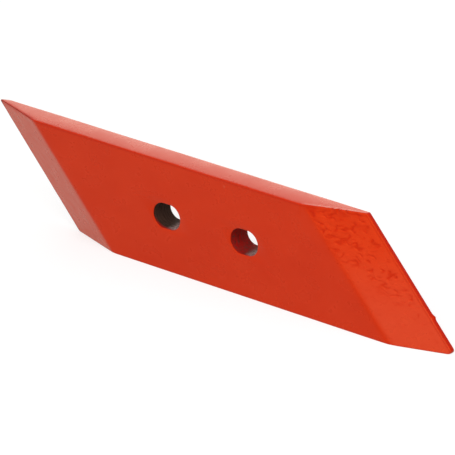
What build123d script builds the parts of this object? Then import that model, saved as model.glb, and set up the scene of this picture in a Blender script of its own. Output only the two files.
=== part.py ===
from build123d import *
import math
import os

# A reversible plowshare point: one forged flat bar with both ends cut on the same skew line
# and drawn down on the front face to a thin land, and two slots along its middle for the
# bolts that hold it to the plow body. It is symmetric by half a turn about the middle of its
# face, so that a worn end is swapped for the fresh one.
#
# Frame: the bar stands on its lower long edge. +X runs along the bar, the front face with
# the two bevels looks toward -Y, the flat back face toward +Y, and +Z is up. The origin is
# under the middle of the bar, on the surface that it stands on.

# Driving dimensions, in millimetres and degrees

bar_length = 242.0          # along the bar, from one end line to the other
bar_width = 60.0            # height of the bar as it stands
bar_thickness = 12.5        # 12 mm bar, with its rolling tolerance and its coat of paint

end_skew_angle = 41.7       # lean of both end lines from square across the bar
bevel_run = 32.0            # along the bar, from the end line to where the bevel starts
land_thickness = 2.3        # steel left at the end lines
shoulder_radius = 9.0       # forged blend between the front face and a bevel

tip_radius = 1.4            # the two acute corners that cut the soil
heel_radius = 1.2           # the two obtuse corners
face_edge_radius = 0.5      # rolled edges all round the front and the back face

bolt_spacing = 50.0
slot_length = 17.5
slot_width = 13.5
slot_rim_radius = 0.3       # eased rims of the slots, front and back

# Worked out from the driving dimensions

half_length = bar_length / 2
half_thickness = bar_thickness / 2
front_y = -half_thickness
back_y = half_thickness
skew = math.tan(math.radians(end_skew_angle))
skew_shift = skew * bar_width
bevel_start = half_length - bevel_run
land_front_y = back_y - land_thickness
tolerance = 0.001


def bar_section():
    """The bar seen from above, at mid height: a flat back, a front face and two bevels."""
    corners = [
        (-half_length, back_y),
        (-half_length, land_front_y),
        (-bevel_start, front_y),
        (bevel_start, front_y),
        (half_length, land_front_y),
        (half_length, back_y),
    ]
    section = make_face(Polyline(*corners, close=True))
    shoulders = section.vertices().filter_by(lambda corner: abs(corner.Y - front_y) < tolerance)
    return fillet(shoulders, shoulder_radius)


def skewed_bar():
    """The section pushed up the skewed end line, which gives every bevel its slanted edge."""
    section = Pos(skew_shift / 2, 0, 0) * bar_section()
    up_the_end_line = Vector(-skew_shift, 0, bar_width)
    return extrude(section, amount=up_the_end_line.length, dir=up_the_end_line)


def along_bar(edge):
    """Distance of an edge's middle from the bar's centre, with the skew taken out."""
    middle = edge.center()
    return abs(middle.X + skew * (middle.Z - bar_width / 2))


def round_corners(bar):
    """Rounds the four corners of the outline, seen square on to the face."""
    upright = bar.edges().filter_by(Axis.Y)
    tips = [edge for edge in upright if edge.center().X * (edge.center().Z - bar_width / 2) < 0]
    bar = fillet(tips, tip_radius)
    upright = bar.edges().filter_by(Axis.Y)
    heels = [
        edge
        for edge in upright
        if edge.center().X * (edge.center().Z - bar_width / 2) > 0
        and along_bar(edge) > half_length - tolerance
    ]
    return fillet(heels, heel_radius)


def round_loop(bar, on_loop):
    """Rounds the smooth loop of edges that on_loop picks, going round from its longest one."""
    return fillet(bar.edges().filter_by(on_loop).sort_by(SortBy.LENGTH)[-1], face_edge_radius)


def round_faces(bar):
    """Rolls the edge all round the front with its bevels, then all round the back face."""
    bar = round_loop(bar, lambda edge: abs(edge.center().Y - front_y) < tolerance
                     and abs(edge.center().Z) < tolerance)
    return round_loop(bar, lambda edge: abs(edge.center().Y - back_y) < tolerance)


def cut_slots(bar):
    """The two bolt slots in line with the bar, right through, with eased rims."""
    slot = SlotOverall(slot_length, slot_width)
    for side in (-1, 1):
        place = Pos(side * bolt_spacing / 2, front_y, bar_width / 2) * Rot(90, 0, 0)
        bar -= extrude(place * slot, amount=bar_thickness, both=True)
    rims = [
        edge
        for edge in bar.edges()
        if abs(edge.center().X) < (bolt_spacing + slot_length) / 2
        and abs(edge.center().Z - bar_width / 2) < slot_width / 2 + tolerance
        and abs(abs(edge.center().Y) - half_thickness) < tolerance
    ]
    return fillet(rims, slot_rim_radius)


point = cut_slots(round_faces(round_corners(skewed_bar())))

os.makedirs("parts", exist_ok=True)
export_step(point.solid(), "parts/plowshare_point.step")
print("plowshare point", round(point.volume), "mm3", point.bounding_box().size)
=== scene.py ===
# %% [markdown]
# A reversible plowshare point is one bar of steel, forged thin at both ends, slotted for two
# bolts and dipped in red paint. This notebook dresses the measured model of it. The frame
# comes first: it holds the bar at its real size, and everything here is fitted to that.

# %% The frame
import math

import bmesh
import bpy
from mathutils import Matrix, Quaternion, Vector, noise


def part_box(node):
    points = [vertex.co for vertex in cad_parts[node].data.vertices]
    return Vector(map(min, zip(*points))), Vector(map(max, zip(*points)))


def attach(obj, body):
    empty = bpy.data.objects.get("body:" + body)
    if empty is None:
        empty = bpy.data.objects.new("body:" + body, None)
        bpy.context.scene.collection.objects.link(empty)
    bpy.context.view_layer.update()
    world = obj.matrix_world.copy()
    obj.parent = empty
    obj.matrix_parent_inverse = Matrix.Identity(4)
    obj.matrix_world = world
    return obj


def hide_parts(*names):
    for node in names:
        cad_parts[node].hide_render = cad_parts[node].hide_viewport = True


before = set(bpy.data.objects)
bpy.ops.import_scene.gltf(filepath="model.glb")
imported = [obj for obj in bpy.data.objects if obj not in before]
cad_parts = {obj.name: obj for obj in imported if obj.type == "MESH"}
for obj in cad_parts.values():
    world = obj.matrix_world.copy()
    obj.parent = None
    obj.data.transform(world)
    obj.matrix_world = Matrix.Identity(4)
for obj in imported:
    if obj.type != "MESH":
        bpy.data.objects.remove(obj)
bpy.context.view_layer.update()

# %% [markdown]
# The box of the frame gives the width and the thickness of the bar. What a box can't tell,
# such as how far the bevels run, is written here once, in metres. The end lines lean, so
# most places along the bar are told by a station: the distance along the bar from its
# middle with the lean taken out. A bevel is then just a range of stations.

# %% Sizes of the bar
mm = 0.001
bar_low, bar_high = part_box("plowshare_point")
width = bar_high.z - bar_low.z
thickness = bar_high.y - bar_low.y
front_y, back_y = bar_low.y, bar_high.y
mid_z = (bar_low.z + bar_high.z) / 2

bar_length = 242 * mm
end_lean = math.radians(41.7)
bevel_run = 32 * mm
land_thickness = 2.3 * mm
upper_tip_radius = 1.0 * mm
lower_tip_radius = 1.8 * mm
heel_radius = 1.2 * mm
edge_radius = 0.4 * mm

skew = math.tan(end_lean)
half_length = bar_length / 2
bevel_start = half_length - bevel_run
marks_start = bevel_start - 2 * mm
same_place = mm / 100


def station(point):
    return point.x + skew * (point.z - mid_z)


print("bar", round(width / mm, 1), "mm wide and", round(thickness / mm, 1), "mm thick")

# %% [markdown]
# The blank is a cube, stretched to the bar and sheared so that both ends lean. Shearing
# before any rounding keeps every later radius true. The four corners of the outline are
# bevelled first, then the edge all round both faces, as a rolling mill and a coat of paint
# leave it. Bevel wants the distance to where the arc begins, which for a corner of a known
# angle is the radius divided by the tangent of half that angle.

# %% The blank
bar = bmesh.new()
bmesh.ops.create_cube(bar, size=1)
bmesh.ops.scale(bar, vec=(bar_length, thickness, width), verts=bar.verts)
bmesh.ops.translate(bar, vec=(0, 0, mid_z), verts=bar.verts)
shear = Matrix.Identity(4)
shear[0][2] = -skew
shear[0][3] = skew * mid_z
bmesh.ops.transform(bar, matrix=shear, verts=bar.verts)


def middle(edge):
    return (edge.verts[0].co + edge.verts[1].co) / 2


def corner_edges(x_side, z_side):
    """The edge through the thickness at one corner of the outline."""
    return [
        edge
        for edge in bar.edges
        if abs(edge.verts[0].co.y - edge.verts[1].co.y) > thickness / 2
        and middle(edge).x * x_side > 0
        and (middle(edge).z - mid_z) * z_side > 0
    ]


def round_edges(edges, distance, segments):
    bmesh.ops.bevel(bar, geom=edges, offset=distance, offset_type="OFFSET",
                    segments=segments, profile=0.5, affect="EDGES", material=-1)


tip_angle = math.pi / 2 - end_lean
heel_angle = math.pi / 2 + end_lean
corners = (
    (corner_edges(-1, 1), upper_tip_radius, tip_angle),
    (corner_edges(1, -1), lower_tip_radius, tip_angle),
    (corner_edges(-1, -1), heel_radius, heel_angle),
    (corner_edges(1, 1), heel_radius, heel_angle),
)
for edges, radius, angle in corners:
    round_edges(edges, radius / math.tan(angle / 2), segments=8)

face_edges = [e for e in bar.edges if abs(e.verts[0].co.y - e.verts[1].co.y) < same_place]
round_edges(face_edges, edge_radius, segments=4)
print("blank:", len(bar.faces), "faces")

# %% [markdown]
# Forging marks need many small faces to bend. Bisecting with rows of planes cuts the flat
# faces into an even net: planes across the width, planes through the thickness, and planes
# that lean as the ends do. The leaning ones crowd together on the bevels, where the hammer
# fell, and stand further apart on the plain middle. The bevel at the right carries the
# finest marks of all, so its net is halved once more.

# %% A net of small faces
fine_step = 0.6 * mm
plain_step = 2 * mm
forged_zone = bevel_start - 8 * mm
cut_tolerance = mm / 10000


def slice_bar(point, normal):
    everything = bar.verts[:] + bar.edges[:] + bar.faces[:]
    bmesh.ops.bisect_plane(bar, geom=everything, dist=cut_tolerance, plane_co=point,
                           plane_no=normal)


def slice_rows(low, high, step, axis):
    count = round((high - low) / step)
    for row in range(1, count):
        slice_bar(axis * (low + (high - low) * row / count), axis)


slice_rows(front_y + edge_radius, back_y - edge_radius, mm, Vector((0, 1, 0)))
slice_rows(edge_radius, width - edge_radius, fine_step, Vector((0, 0, 1)))

stations = []
here = fine_step + edge_radius / math.cos(end_lean) - half_length
while here < half_length - fine_step:
    stations.append(here)
    here += fine_step if abs(here + fine_step / 2) > forged_zone else plain_step
for here in stations:
    slice_bar(Vector((here, 0, mid_z)), Vector((math.cos(end_lean), 0, math.sin(end_lean))))

hammered = [face for face in bar.faces
            if face.normal.y < -0.1 and station(face.calc_center_median()) > marks_start]
hammered_edges = {edge for face in hammered for edge in face.edges}
bmesh.ops.subdivide_edges(bar, edges=list(hammered_edges), cuts=1, use_grid_fill=True)
print("net:", len(stations), "leaning cuts,", len(bar.faces), "faces")

# %% [markdown]
# Each bolt slot is an open tube. A cone with equal ends and no caps is one: its angle says
# how far round the slot a vertex is, and its height how deep, so moving every vertex by
# those two numbers turns the tube into an oblong with a rolled rim at both faces. The faces
# of the bar around it are taken out as a leaning window, and bridging joins the window to
# the rim. This leaves clean rings of faces, where a boolean would leave slivers. The punched
# wall is not smooth, so it is nudged in and out by noise that is stretched round the slot,
# and it draws in a little toward the back. Neither slot sits quite on the middle line.

# %% The two bolt slots
slot_middles = (
    Vector((-25.7 * mm, front_y, mid_z - 0.2 * mm)),
    Vector((24.7 * mm, front_y, mid_z - 0.6 * mm)),
)
slot_length = 17.5 * mm
slot_width = 13.5 * mm
rim_radius = 0.3 * mm
window_run = 13.5 * mm
window_rise = 9 * mm
around = 144
rim_rings = 3
wall_rings = 24
wall_roughness = 0.2 * mm
wall_draft = 0.7 * mm
calm_rim = 2 * mm


def oblong_point(share, outset):
    """A point on the slot's outline, share of the way round, pushed out by outset."""
    radius = slot_width / 2
    flat = slot_length - slot_width
    arc = math.pi * radius
    walked = share % 1 * 2 * (flat + arc)
    side = 1 if walked < flat + arc else -1
    walked %= flat + arc
    if walked < arc:
        turn = walked / radius - math.pi / 2
        reach = radius + outset
        return side * (flat / 2 + reach * math.cos(turn)), side * reach * math.sin(turn)
    return side * (flat / 2 - (walked - arc)), side * (radius + outset)


def wall_profile(ring):
    """Depth and outset of one ring of the slot, from the front face to the back face."""
    last = 2 * rim_rings + wall_rings
    if ring <= rim_rings or ring >= last - rim_rings:
        turn = math.pi / 2 * min(ring, last - ring) / rim_rings
        depth = rim_radius * (1 - math.cos(turn))
        outset = rim_radius * (1 - math.sin(turn))
        if ring <= rim_rings:
            return depth, outset
        return thickness - depth, outset - wall_draft
    share = (ring - rim_rings) / wall_rings
    return rim_radius + share * (thickness - 2 * rim_radius), -share * wall_draft


def wall_nudge(share, depth, slot_x):
    """How far the punched wall stands off its true outline."""
    inside = min(depth, thickness - depth) / calm_rim
    turn = 2 * math.pi * share
    spot = Vector((2 * math.cos(turn), 2 * math.sin(turn), depth / (0.9 * mm) + slot_x / mm))
    return wall_roughness * min(max(inside, 0), 1) * noise.noise(spot)


def open_edges(keep):
    return [edge for edge in bar.edges if edge.is_boundary and keep(middle(edge))]


def cut_slot(centre):
    def in_window(point):
        return (abs(station(point) - centre.x) < window_run
                and abs(point.z - mid_z) < window_rise)

    on_faces = [face for face in bar.faces
                if abs(face.normal.y) > 0.99 and in_window(face.calc_center_median())]
    bmesh.ops.delete(bar, geom=on_faces, context="FACES")

    rings = 2 * rim_rings + wall_rings
    ends = bmesh.ops.create_cone(bar, cap_ends=False, segments=around, radius1=1, radius2=1,
                                 depth=1)["verts"]
    upright = {edge for vert in ends for edge in vert.link_edges
               if abs(edge.verts[0].co.z - edge.verts[1].co.z) > 0.5}
    bmesh.ops.subdivide_edges(bar, edges=list(upright), cuts=rings - 1, use_grid_fill=True)
    tube = [vert for vert in bar.verts if vert.co.xy.length > 0.9]
    bare_wall = set()
    for vert in tube:
        share = math.atan2(vert.co.y, vert.co.x) / (2 * math.pi)
        ring = round((vert.co.z + 0.5) * rings)
        if ring > rim_rings:
            bare_wall.update(vert.link_faces)
        depth, outset = wall_profile(ring)
        along, up = oblong_point(share, outset + wall_nudge(share, depth, centre.x))
        vert.co = centre + Vector((along, depth, up))
    for y in (front_y, back_y):
        loops = open_edges(lambda point: abs(point.y - y) < same_place
                           and abs(station(point) - centre.x) < 2 * window_run)
        bmesh.ops.bridge_loops(bar, edges=loops)
    for face in bare_wall:
        face.material_index = 1


for centre in slot_middles:
    cut_slot(centre)
bmesh.ops.recalc_face_normals(bar, faces=bar.faces)
print("slots cut;", sum(edge.is_boundary for edge in bar.edges), "open edges left")

# %% [markdown]
# Forging now bends the block into the point. The front face sinks toward the back over
# each bevel, along a hinge with a soft shoulder. The rolled front edge has to keep its
# radius all the way, so it rides down with the face, the back edge stays, and only the
# narrow side between them is squeezed.

# %% Forge the bevels
left_shoulder = 1.2 * mm
right_shoulder = 2.2 * mm
bevel_fall = (thickness - land_thickness) / bevel_run


def soft_ramp(distance, softness):
    """Zero before the hinge and the distance after it, with a rounded turn between."""
    return (distance + math.hypot(distance, softness)) / 2


def smooth_step(low, high, value):
    share = min(max((value - low) / (high - low), 0), 1)
    return share * share * (3 - 2 * share)


def faces_front(vert):
    """One on the front face and both bevels, zero on every other side."""
    return smooth_step(0.3, 0.8, -vert.normal.y)


def face_drop(here):
    """How far the front face lies below its flat middle at a station."""
    softness = left_shoulder if here < 0 else right_shoulder
    return bevel_fall * soft_ramp(abs(here) - bevel_start, softness)


def forge(vert):
    squeezed = thickness - 2 * edge_radius
    share = min(max((back_y - edge_radius - vert.co.y) / squeezed, 0), 1)
    if abs(vert.co.x) > half_length / 2:
        vert.co.y += share * face_drop(station(vert.co))


for vert in bar.verts:
    forge(vert)
print("land left at the end lines:",
      round((thickness - face_drop(half_length)) / mm, 2), "mm")

# %% [markdown]
# Hot steel keeps the marks of the tools. The bevel at the right is covered with short
# curled ripples, like scales, that run along the bar and fade toward the lower tip. They
# are drawn where a stretched noise passes through zero, which gives thin wandering lines
# with room between them. A second noise breaks the lines up. Along the end line the paint
# has run into a bead, with a shallow gutter beside it. The grooves and the gutter get painted
# shade, a deeper red. Together with the thick coat near the upper rim, this goes into a
# number on every vertex.

# %% Hammer ripples and the paint bead
ripple_depth = 0.20 * mm
swell_height = 0.16 * mm
bead_height = 0.09 * mm
bead_inward = 0.5
gutter_depth = 0.07 * mm
gutter_inward = 1.1
line_width = 0.17
# Painted shade: the next two numbers say how much deeper red the ripple grooves and the gutter
# beside the bead are coloured.
groove_shade = 0.95
gutter_shade = 0.5
thick_and_shade_layer = bar.verts.layers.float.new("thick_paint_and_shade")


def bump(value, centre, spread):
    return math.exp(-(((value - centre) / spread) ** 2))


def groove(along, up):
    """How deep in a ripple's groove a place is, by millimetres along the bar and up."""
    warp = noise.noise(Vector((along / 3.6, up / 3.2, 4.1)))
    line = noise.noise(Vector((along / 5.2, up / 2.0 + 0.9 * warp, 0.37)))
    gate = smooth_step(-0.2, 0.25, noise.noise(Vector((along / 3.8, up / 2.2, 7.7))))
    return gate * bump(line, 0, line_width)


def ripple_share(point):
    """Ripples begin at the shoulder, and fade below a slanting line and at the end line."""
    here = station(point)
    from_shoulder = smooth_step(bevel_start - 1 * mm, bevel_start + 2 * mm, here)
    to_end = 1 - smooth_step(half_length - 5 * mm, half_length - 2.5 * mm, here)
    fade_z = 79.4 * mm - 0.5 * point.x
    strength = 0.16 + 0.84 * smooth_step(fade_z - 4 * mm, fade_z + 5 * mm, point.z)
    return from_shoulder * to_end * strength


def inward(point):
    """Millimetres from the right end line, measured square to it."""
    return (half_length - station(point)) * math.cos(end_lean) / mm


def bead(point):
    """Height of the paint bead and its gutter along the end line."""
    gutter = gutter_depth * bump(inward(point), gutter_inward, 0.35)
    return bead_height * bump(inward(point), bead_inward, 0.28) - gutter


def upper_run(along, up):
    """Thick coat near the upper rim of the bevel, where it ran down in patches."""
    patch = smooth_step(-0.1, 0.35, noise.noise(Vector((along / 7, up / 4, 1.7))))
    return smooth_step(44, 60, up) * (0.25 + 0.5 * patch)


bar.normal_update()
moved = 0
for vert in bar.verts:
    facing = faces_front(vert)
    if facing and station(vert.co) > marks_start:
        along, up = vert.co.x / mm, vert.co.z / mm
        share = ripple_share(vert.co)
        hollow = groove(along, up)
        swell = noise.noise(Vector((along / 4, up / 2.4, 2.9)))
        lift = share * (swell_height * swell - ripple_depth * hollow) + bead(vert.co)
        vert.co += vert.normal * facing * lift
        # Painted shade in the grooves and the gutter, plus the thick coat near the upper rim,
        # goes into the number on each vertex.
        shade_and_pooling = share * (groove_shade * hollow + upper_run(along, up))
        shade_and_pooling += gutter_shade * bump(inward(vert.co), gutter_inward, 0.3)
        vert[thick_and_shade_layer] = min(shade_and_pooling, 1)
        moved += 1
print("ripples moved", moved, "vertices")

# %% [markdown]
# The left bevel was finished on a belt. Its scratches are fine and run down the slant of
# the end line, and here and there a shallow dip crosses them.

# %% Belt marks on the left bevel
grind_height = 0.035 * mm
dip_height = 0.05 * mm


def belt_marks(point):
    across, up = station(point) / mm, point.z / mm
    scratch = noise.noise(Vector((across / 0.9, up / 9, 3.3)))
    scratch += 0.6 * noise.noise(Vector((across / 2.1, up / 16, 8.8)))
    dip = noise.noise(Vector((across / 6, up / 4, 1.9)))
    return grind_height * scratch + dip_height * dip


moved = 0
for vert in bar.verts:
    facing = faces_front(vert)
    if facing and station(vert.co) < -bevel_start:
        share = smooth_step(bevel_start, bevel_start + 3 * mm, -station(vert.co))
        vert.co += vert.normal * facing * share * belt_marks(vert.co)
        moved += 1
print("belt marks moved", moved, "vertices")

# %% [markdown]
# No long edge of a rolled and forged bar is dead straight. The narrow upper face is a
# little crowned and falls away toward the front, its edges wander by a tenth of a millimetre
# or two, and the broad faces have a slow swell that only shows in the gloss. The edge that
# the bar stands on stays flat.

# %% The crown and the wander of the long edges
crown = 0.08 * mm
front_fall = 0.5 * mm
edge_wander = 0.14 * mm
face_swell = 0.05 * mm


def wander(point):
    return edge_wander * noise.noise(Vector((point.x / (38 * mm), point.y / (30 * mm), 5.2)))


for vert in bar.verts:
    top_share = smooth_step(width - 4 * mm, width, vert.co.z)
    across = 2 * vert.co.y / thickness
    top_lift = wander(vert.co) + crown * (1 - across * across)
    top_lift -= front_fall * ((1 - across) / 2) ** 2
    broad = smooth_step(0.7, 0.95, abs(vert.normal.y))
    clear_of_slots = 1 - math.exp(-((vert.co.z - mid_z) / (14 * mm)) ** 2)
    swell = noise.noise(Vector((vert.co.x / (30 * mm), vert.co.y, vert.co.z / (18 * mm))))
    vert.co.y += face_swell * broad * clear_of_slots * swell
    vert.co.z += top_share * top_lift
print("the upper face falls", round(front_fall / mm, 2), "mm toward the front")

# %% [markdown]
# Small faults make the piece a real one. Where the right bevel meets the narrow upper face,
# shearing left a low ragged lip, with three notches and a loose fleck. On the far edge of
# the end line sits one small burr. At the left the upper rim is worn round, and the back
# corner of the upper tip droops. Each fault is a bump at a measured place that fades out
# within a few millimetres.

# %% Torn rim and burr
lip_height = 0.28 * mm
rag_height = 0.12 * mm
lip_spread = 0.9 * mm
notches = (
    (77.0 * mm, 0.8 * mm, 0.35 * mm),
    (80.2 * mm, 0.5 * mm, 0.55 * mm),
    (84.0 * mm, 0.6 * mm, 0.40 * mm),
)
fleck = (78.8 * mm, 0.6 * mm, 0.40 * mm)
burr_z = 15.0 * mm
burr_length = 2.2 * mm
burr_height = 0.85 * mm
left_wear = 0.2 * mm
tip_droop = 0.8 * mm
droop_length = 7 * mm
rim_way = Vector((0, -1, 1)).normalized()
end_way = Vector((math.cos(end_lean), 0, math.sin(end_lean)))


def rim_lift(along):
    """How far the ragged lip stands out at a place along the bar."""
    rag = noise.noise(Vector((along / (1.3 * mm), 0.5, 6.1)))
    rag += 0.5 * noise.noise(Vector((along / (0.6 * mm), 0.5, 2.4)))
    lift = lip_height + rag_height * rag
    for centre, spread, depth in notches:
        lift -= depth * bump(along, centre, spread)
    return lift + fleck[2] * bump(along, fleck[0], fleck[1])


for vert in bar.verts:
    here = station(vert.co)
    if marks_start < abs(here) < half_length - mm:
        rim_y = front_y + face_drop(here)
        off_rim = math.hypot(vert.co.y - rim_y, vert.co.z - width + front_fall)
        share = bump(off_rim, 0, lip_spread)
        share *= smooth_step(marks_start, bevel_start + 2 * mm, abs(here))
        vert.co += rim_way * share * (-left_wear if here < 0 else rim_lift(vert.co.x))
    if here < 0:
        share = smooth_step(half_length - droop_length, half_length, -here)
        share *= smooth_step(width - 4 * mm, width, vert.co.z)
        vert.co.z -= tip_droop * share * smooth_step(back_y - land_thickness, back_y, vert.co.y)
    if here > half_length - 3 * mm and vert.co.y > 0:
        share = smooth_step(back_y - 2.6 * mm, back_y - 0.4 * mm, vert.co.y)
        share *= smooth_step(half_length - 2 * mm, half_length, here)
        share *= smooth_step(burr_z - 0.4 * mm, burr_z + 0.1 * mm, vert.co.z)
        share *= 1 - smooth_step(burr_z, burr_z + burr_length, vert.co.z)
        vert.co += end_way * share * burr_height
print("rim torn at", [round(notch[0] / mm, 1) for notch in notches], "mm along the bar")

# %% [markdown]
# Paint runs away from a sharp edge, so along the upper rim of the left bevel it is thin and
# dark steel shows through, most of all at the very tip. The last millimetre of the left end
# is darkened with the same colour. Along the upper rim of the left bevel the coat gathers
# deep red, and the narrow end faces are deep red all over. The deep red line just under the
# upper rim of the front is painted shade, where the rolled edge turns from the light. Over
# the belt marks, and low on the right bevel, a paler red is a painted reflection of the
# bright surroundings. Numbers on every vertex say how thin the coat is, where it is deep red
# with thick paint and painted shade, and where the reflection is painted, and the paint
# reads them. They follow an edge exactly, which a pattern in space could not.

# %% Where the paint is thin or thick, with painted shade and painted reflection
bare_layer = bar.verts.layers.float.new("thin_paint")
reflection_layer = bar.verts.layers.float.new("painted_reflection")
# Painted shade: a deep red line just under the upper rim of the front.
rim_shade_depth = 1.2 * mm
rim_shade_spread = 0.45 * mm
tip_length = 3 * mm
tip_core = 0.5 * mm
# Painted reflection: a paler red low on the right bevel, fading out between these heights.
reflection_low = 8 * mm
reflection_high = 52 * mm
rim_rub = 0.65
tip_rub = 0.95
notch_rub = 0.5
# How dark the last millimetre of the left end is made.
left_end_darkening = 0.5


def thin_paint(vert):
    here = station(vert.co)
    on_rim = smooth_step(0.15, 0.5, vert.normal.z) * smooth_step(0.1, 0.45, -vert.normal.y)
    left_rim = on_rim * smooth_step(bevel_start + 1 * mm, bevel_start + 3 * mm, -here)
    tip = smooth_step(half_length - tip_length, half_length - tip_core, -here)
    tip *= smooth_step(width - tip_length, width - tip_core, vert.co.z)
    break_up = 0.75 + 0.5 * noise.noise(vert.co / (1.5 * mm))
    notch = max(bump(vert.co.x, place, spread / 2) for place, spread, _ in notches)
    near_top = smooth_step(width - 1.2 * mm, width - 0.5 * mm, vert.co.z)
    torn = on_rim * near_top * notch if here > bevel_start else 0
    # The last millimetre of the left end is darkened.
    left_end = smooth_step(half_length - 1.2 * mm, half_length - 0.4 * mm, -here)
    return min(max(left_rim * rim_rub * break_up, tip * tip_rub, torn * notch_rub,
                   left_end * left_end_darkening), 1)


# Deep red: thick paint on the end faces and along the left rim, and painted shade in the
# grooves, in the gutter and under the front rim.
def thick_paint_and_shade(vert):
    here = station(vert.co)
    on_end = smooth_step(0.5, 0.85, abs(vert.normal.dot(end_way)))
    # Painted shade under the upper rim of the front, where the rolled edge turns from the light.
    shade_under_rim = bump(vert.co.z, width - rim_shade_depth, rim_shade_spread)
    shade_under_rim *= smooth_step(0.5, 0.9, -vert.normal.y)
    shade_under_rim *= 1 - smooth_step(-2 * mm, 2 * mm, abs(here) - bevel_start)
    left_run = smooth_step(width - 1.6 * mm, width - 0.8 * mm, vert.co.z)
    left_run *= smooth_step(0.02, 0.2, -vert.normal.y)
    left_run *= smooth_step(marks_start, bevel_start + 1 * mm, -here)
    return max(vert[thick_and_shade_layer], on_end, shade_under_rim * 0.9, left_run)


def painted_reflection(vert):
    """Painted reflection of the bright surroundings, a paler red: low on the right bevel, and
    over the belt marks of the left one.
    """
    here = station(vert.co)
    right = smooth_step(bevel_start - 1 * mm, bevel_start + 4 * mm, here)
    right *= 1 - smooth_step(reflection_low, reflection_high, vert.co.z)
    left = smooth_step(bevel_start - 0.5 * mm, bevel_start + 2 * mm, -here)
    return faces_front(vert) * max(right, left)


bar.normal_update()
for vert in bar.verts:
    vert[bare_layer] = thin_paint(vert)
    vert[thick_and_shade_layer] = thick_paint_and_shade(vert)
    vert[reflection_layer] = painted_reflection(vert)
print("thin paint on", sum(vert[bare_layer] > 0.3 for vert in bar.verts), "vertices,",
      "thick paint on", sum(vert[thick_and_shade_layer] > 0.3 for vert in bar.verts))

# %% A mesh object of the bar
mesh = bpy.data.meshes.new("plowshare_bar")
bar.to_mesh(mesh)
bar.free()
for polygon in mesh.polygons:
    polygon.use_smooth = True
piece = bpy.data.objects.new("painted_plowshare_point", mesh)
bpy.context.collection.objects.link(piece)
triangles = sum(len(polygon.vertices) - 2 for polygon in mesh.polygons)
print("piece:", len(mesh.polygons), "faces,", triangles, "triangles")

# %% [markdown]
# The paint is a thick glossy red-orange enamel. Its pattern is built up from layers of
# noise in Object coordinates, so it stays on the steel from any side. A few small helpers
# keep the node trees short to read: one adds a node with its settings, one adds noise
# stretched to a size in millimetres, and one adds a mix of two colours.

# %% Helpers for node trees
class Recipe:
    """A material's node tree, with its Object coordinates ready for use."""

    def __init__(self, name):
        self.material = bpy.data.materials.new(name)
        self.material.use_nodes = True
        self.nodes = self.material.node_tree.nodes
        self.links = self.material.node_tree.links
        self.shader = self.nodes["Principled BSDF"]
        self.place = self.add("ShaderNodeTexCoord").outputs["Object"]

    def add(self, kind, values=(), **settings):
        node = self.nodes.new(kind)
        for key, value in settings.items():
            setattr(node, key, value)
        for socket, value in values:
            if isinstance(value, bpy.types.NodeSocket):
                self.links.new(value, node.inputs[socket])
            else:
                node.inputs[socket].default_value = value
        return node

    def grain(self, x_size, y_size, z_size, detail=2):
        """Noise whose grains are about that many millimetres long each way."""
        stretch = [1 / (size * mm) for size in (x_size, y_size, z_size)]
        scaled = self.add("ShaderNodeMapping", [("Vector", self.place), ("Scale", stretch)])
        cloud = self.add("ShaderNodeTexNoise", [("Vector", scaled.outputs[0]), ("Scale", 1),
                                                ("Detail", detail)])
        return cloud.outputs["Fac"]

    def remap(self, value, low, high, new_low, new_high):
        node = self.add("ShaderNodeMapRange", [("Value", value), ("From Min", low),
                                               ("From Max", high), ("To Min", new_low),
                                               ("To Max", new_high)])
        return node.outputs[0]

    def mix(self, share, first, second, blend="MIX"):
        node = self.add("ShaderNodeMix", data_type="RGBA", blend_type=blend)
        for socket, value in (("Factor", share), ("A", first), ("B", second)):
            target = [item for item in node.inputs if item.name == socket and item.enabled][0]
            if isinstance(value, bpy.types.NodeSocket):
                self.links.new(value, target)
            else:
                target.default_value = value
        return [item for item in node.outputs if item.enabled][0]

    def calculate(self, operation, first, second):
        node = self.add("ShaderNodeMath", [(0, first), (1, second)], operation=operation)
        return node.outputs[0]

    def raise_by(self, height, strength):
        node = self.add("ShaderNodeBump", [("Height", height), ("Distance", mm),
                                           ("Strength", strength)])
        return node.outputs[0]


print("recipe helpers ready")

# %% [markdown]
# Over the enamel's base colour lie a slow cloud, as the coat is thicker in some places, and
# a fine speckle. Where the coat is thick the red is deep and pure, and the same deep red is
# painted shade in the ripple grooves, in the gutter and under the upper rim of the front. A
# paler red is a painted reflection over the belt marks and low on the right bevel, and where
# the coat is thin the steel shows dark. The mirror tint is warm, because the coat keeps the
# light that goes into it and gives back red, while at a grazing view the shine stays white.
# A faint pale nick sits near the upper rim of the front.

# %% Red enamel
enamel_light = (0.615, 0.0265, 0.0045, 1)
enamel_deep = (0.585, 0.0215, 0.0030, 1)
# A paler red for a painted reflection.
enamel_reflection = (0.60, 0.041, 0.0165, 1)
# A deep red for thick paint, and also for painted shade.
enamel_deep_red_and_shade = (0.50, 0.0085, 0.0010, 1)
rubbed_steel = (0.075, 0.020, 0.012, 1)
nick_colour = (0.70, 0.12, 0.07, 1)
nick_place = Vector((12.3 * mm, front_y, 56 * mm))

enamel = Recipe("red_paint")
cloud = enamel.remap(enamel.grain(26, 20, 18, detail=3), 0.35, 0.65, 0, 1)
speckle = enamel.remap(enamel.grain(0.9, 0.9, 0.9), 0.3, 0.7, 0, 1)
coat = enamel.mix(cloud, enamel_deep, enamel_light)
coat = enamel.mix(enamel.calculate("MULTIPLY", speckle, 0.2), coat, enamel_deep)
# Painted reflection as a paler red.
reflection_share = enamel.add("ShaderNodeAttribute", attribute_name="painted_reflection").outputs["Fac"]
coat = enamel.mix(reflection_share, coat, enamel_reflection)
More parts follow.
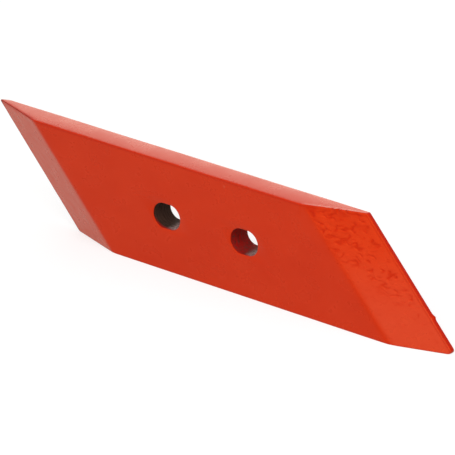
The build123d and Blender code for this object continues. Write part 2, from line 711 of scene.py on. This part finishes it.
# The deep red of thick paint and of painted shade.
thick_and_shaded = enamel.add("ShaderNodeAttribute", attribute_name="thick_paint_and_shade").outputs["Fac"]
coat = enamel.mix(thick_and_shaded, coat, enamel_deep_red_and_shade)
bare = enamel.add("ShaderNodeAttribute", attribute_name="thin_paint").outputs["Fac"]
coat = enamel.mix(bare, coat, rubbed_steel)
to_nick = enamel.add("ShaderNodeVectorMath", [(0, enamel.place), (1, nick_place)],
                     operation="DISTANCE").outputs["Value"]
coat = enamel.mix(enamel.remap(to_nick, 0.3 * mm, 0.9 * mm, 0.45, 0), coat, nick_colour)
enamel.links.new(coat, enamel.shader.inputs["Base Color"])

gloss_cloud = enamel.remap(enamel.grain(9, 9, 7, detail=3), 0.3, 0.7, 0.25, 0.33)
gloss = enamel.calculate("ADD", gloss_cloud, enamel.calculate("MULTIPLY", bare, 0.3))
enamel.links.new(gloss, enamel.shader.inputs["Roughness"])
orange_peel = enamel.raise_by(enamel.grain(0.8, 0.8, 0.8), 0.006)
enamel.links.new(orange_peel, enamel.shader.inputs["Normal"])
enamel.shader.inputs["IOR"].default_value = 1.6
enamel.shader.inputs["Specular Tint"].default_value = (1, 0.25, 0.06, 1)
mesh.materials.append(enamel.material)
print("enamel has", len(enamel.nodes), "nodes")

# %% [markdown]
# Inside the slots the punch left dark brown steel. The paler grey at the lower right is painted
# light, where the lower wall faces up to the lamps and the bright floor.
# The tool marks run round the wall, so their noise changes quickly with depth and slowly
# along the wall. Paint reached in from the front, in a narrow band at the bottom of both
# slots and over the whole left side of the right one. Both slots share one recipe: wrapping
# the distance along the bar gives the place inside either slot.

# %% Steel inside the slots
scale_brown = (0.034, 0.013, 0.005, 1)
# A paler grey, painted as light, for the lower right of each slot wall.
painted_light_grey = (0.50, 0.32, 0.305, 1)
spray_red = (0.36, 0.004, 0.002, 1)

punched = Recipe("slot_steel")
split = punched.add("ShaderNodeSeparateXYZ", [("Vector", punched.place)])
slot_step = slot_middles[1].x - slot_middles[0].x
shifted = punched.calculate("SUBTRACT", split.outputs["X"], slot_middles[0].x)
sideways = punched.add("ShaderNodeMath", [(0, shifted), (1, slot_step / 2), (2, -slot_step / 2)],
                       operation="WRAP").outputs[0]
at_right = punched.remap(sideways, -1.5 * mm, 3.5 * mm, 0, 1)
at_bottom = punched.remap(split.outputs["Z"], mid_z + 2 * mm, mid_z - 3 * mm, 0, 1)
streaks = punched.remap(punched.grain(6, 0.5, 6, detail=3), 0.38, 0.62, 0, 1)
patches = punched.remap(punched.grain(1.2, 1.0, 1.2, detail=3), 0.40, 0.60, 0.3, 1)
# Painted light: the lower right of each wall turns paler grey in patches; the tool streaks add a
# little real tone.
painted_light_patch = punched.calculate("MULTIPLY", punched.calculate("MULTIPLY", at_right, at_bottom),
                           patches)
light_and_streaks = punched.calculate("MAXIMUM", painted_light_patch, punched.calculate("MULTIPLY", streaks, 0.07))
wall_tone = punched.mix(light_and_streaks, scale_brown, painted_light_grey)

depth_fade = punched.remap(split.outputs["Y"], front_y + 0.9 * mm, front_y + 1.9 * mm, 1, 0)
lowest = punched.remap(split.outputs["Z"], mid_z - 2.5 * mm, mid_z - 6 * mm, 0.05, 1)
front_band = punched.calculate("MULTIPLY", depth_fade, lowest)
in_right = punched.calculate("GREATER_THAN", split.outputs["X"], 0)
left_wall = punched.remap(sideways, 1.5 * mm, -2.5 * mm, 0.1, 1)
sprayed = punched.calculate("MAXIMUM", front_band,
                            punched.calculate("MULTIPLY", left_wall, in_right))
spray_cloud = punched.remap(punched.grain(1.6, 1.2, 1.6, detail=4), 0.36, 0.5, 0.45, 1)
spray_cloud = punched.calculate("MULTIPLY", spray_cloud, punched.remap(streaks, 0, 1, 1, 0.7))
wall_tone = punched.mix(punched.calculate("MULTIPLY", sprayed, spray_cloud),
                        wall_tone, spray_red)
punched.links.new(wall_tone, punched.shader.inputs["Base Color"])
punched.links.new(punched.remap(patches, 0, 1, 0.6, 0.8), punched.shader.inputs["Roughness"])
punched.links.new(punched.raise_by(streaks, 0.15), punched.shader.inputs["Normal"])
punched.shader.inputs["Specular IOR Level"].default_value = 0.12
mesh.materials.append(punched.material)
print("slot steel has", len(punched.nodes), "nodes")

# %% [markdown]
# The finished bar stands for the bar of the measured model, so that one is hidden, and the
# new one rides on the only body there is.

# %% Put the piece in the frame
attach(piece, "root")
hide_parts("plowshare_point")
print("placed", piece.name)

# %% [markdown]
# The floor is a plain pale sheet. To the camera and in reflections it is nearly white and
# keeps the bar's shadow, but the light that it throws back on the bar is held down, so
# that the bar's underside stays dark. In reflections only it glows a little warm, which
# warms the reflections on the bar.

# %% Floor
floor_bounce = (0.34, 0.34, 0.32, 1)
floor_seen = (0.40, 0.40, 0.40, 1)
floor_glow = 0.66
floor_reach = 6
plain_white = (1, 1, 1, 1)
# The floor's glow seen only in reflections is a little warm.
warm_reflection_glow = (1, 0.95, 0.80, 1)

sheet = bmesh.new()
bmesh.ops.create_grid(sheet, x_segments=1, y_segments=1, size=floor_reach)
floor_mesh = bpy.data.meshes.new("floor")
sheet.to_mesh(floor_mesh)
sheet.free()
floor = bpy.data.objects.new("floor", floor_mesh)
bpy.context.collection.objects.link(floor)

backing = Recipe("pale_floor")
path = backing.add("ShaderNodeLightPath")
seen = backing.calculate("MAXIMUM", path.outputs["Is Camera Ray"], path.outputs["Is Glossy Ray"])
backing.links.new(backing.mix(seen, floor_bounce, floor_seen),
                  backing.shader.inputs["Base Color"])
backing.shader.inputs["Roughness"].default_value = 1
backing.shader.inputs["Specular IOR Level"].default_value = 0
backing.links.new(backing.mix(path.outputs["Is Camera Ray"], warm_reflection_glow, plain_white),
                  backing.shader.inputs["Emission Color"])
backing.links.new(backing.calculate("MULTIPLY", seen, floor_glow),
                  backing.shader.inputs["Emission Strength"])
floor_mesh.materials.append(backing.material)
print("floor is", floor_mesh.name)

# %% [markdown]
# The light is a plain studio: an even grey sky, a large soft key in front, a near softbox
# above the right end that makes that end a little brighter, two small ones behind at the
# left, whose reflections whiten the narrow upper face, and a low strip in front that the
# lower half of the right bevel mirrors. A softbox is told by its radiance, where 1 shows as
# white in a mirror, so its power follows from its size.

# %% Lights
sky_strength = 0.58
backlight_tint = (0.96, 1, 0.86)
world = bpy.data.worlds.new("studio")
bpy.context.scene.world = world
world.use_nodes = True
world.node_tree.nodes["Background"].inputs["Color"].default_value = (1, 1, 1, 1)
world.node_tree.nodes["Background"].inputs["Strength"].default_value = sky_strength
bar_middle = Vector((0, 0, mid_z))


def softbox(name, direction, distance, size_x, size_y, radiance, tint=(1, 1, 1)):
    lamp = bpy.data.lights.new(name, "AREA")
    lamp.color = tint
    lamp.shape = "RECTANGLE"
    lamp.size = size_x
    lamp.size_y = size_y
    lamp.energy = radiance * math.pi * size_x * size_y
    box = bpy.data.objects.new(name, lamp)
    toward = Vector(direction).normalized()
    box.location = bar_middle + toward * distance
    box.rotation_euler = toward.to_track_quat("Z", "Y").to_euler()
    bpy.context.collection.objects.link(box)
    print(name, "at", [round(value, 2) for value in box.location])


softbox("key_softbox", (0.33, -0.74, 0.59), 1.2, 1.0, 1.0, 2.35)
softbox("upper_right_softbox", (0.62, -0.25, 0.75), 0.6, 0.45, 0.45, 1.45)
softbox("back_softbox", (-0.60, 0.71, 0.24), 0.9, 0.4, 0.4, 1.75, backlight_tint)
softbox("high_back_softbox", (-0.60, 0.60, 0.50), 0.9, 0.5, 0.3, 0.75, backlight_tint)
softbox("front_strip", (-0.05, -0.99, 0.02), 1.6, 0.8, 0.28, 2.5)

# %% [markdown]
# The camera stands where the perspective of the long edges, the bevel lines and both slots
# puts it, far off with a long lens, so the ends of the bar lean only a little toward each
# other. The view transform is Standard, which shows a colour about as it is written.

# %% Camera
photo_size = 455
sensor_width = 36
farthest_seen = 20
focal_pixels = 4436.4
view_azimuth = math.radians(40.393)
view_elevation = math.radians(23.277)
view_roll = math.radians(-0.702)
camera_distance = 2.1901
aim = Vector((14.162 * mm, front_y, 34.614 * mm))

camera = bpy.data.objects.new("camera", bpy.data.cameras.new("camera"))
bpy.context.collection.objects.link(camera)
toward_camera = Vector((math.sin(view_azimuth) * math.cos(view_elevation),
                        -math.cos(view_azimuth) * math.cos(view_elevation),
                        math.sin(view_elevation)))
camera.location = aim + toward_camera * camera_distance
rolled = toward_camera.to_track_quat("Z", "Y") @ Quaternion((0, 0, 1), view_roll)
camera.rotation_euler = rolled.to_euler()
camera.data.sensor_width = sensor_width
camera.data.lens = focal_pixels * sensor_width / photo_size
camera.data.clip_end = farthest_seen
bpy.context.scene.camera = camera
bpy.context.scene.view_settings.view_transform = "Standard"
print("lens", round(camera.data.lens, 1), "mm at", round(camera_distance, 2), "m")
